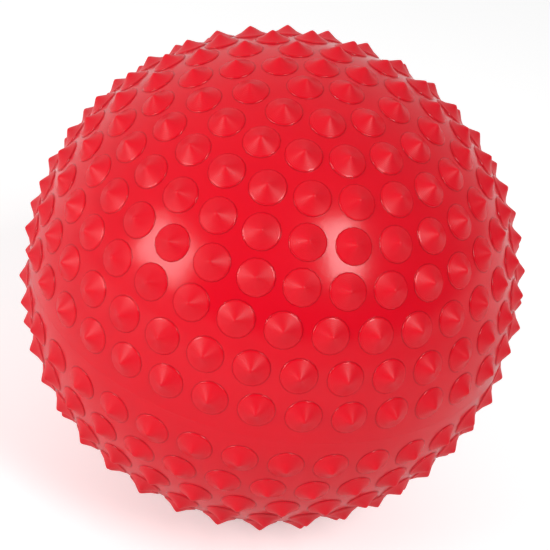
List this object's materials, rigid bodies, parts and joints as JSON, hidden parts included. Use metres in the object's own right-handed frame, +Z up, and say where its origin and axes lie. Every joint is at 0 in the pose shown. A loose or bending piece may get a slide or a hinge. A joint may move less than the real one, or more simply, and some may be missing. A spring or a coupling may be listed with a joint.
{
  "type": "sensory ball",
  "caption": "Hollow soft vinyl ball covered all over in blunt conical spikes, with a pull-out plug in a flush inflation valve.",
  "frame": {"origin": "centre of the ball's round skin", "axes": "+Z up with the ball lying on three spikes, -Y towards the viewer of the picture, +X to that viewer's right"},
  "size_m": [0.1986, 0.1999, 0.1993],
  "materials": {
    "red_vinyl": "soft glossy vinyl, moulded",
    "red_valve_vinyl": "soft vinyl, semi-gloss",
    "white_plug": "soft moulded plastic"
  },
  "bodies": {
    "ball": {"shell": "red_vinyl", "valve_sleeve": "red_valve_vinyl"},
    "plug": {"valve_plug": "white_plug"}
  },
  "joints": [
    {"name": "plug_pull", "type": "slide", "parent": "ball", "child": "plug", "axis": [-0.0694, 0.9276, 0.367], "range_m": [0, 0.018]}
  ]
}
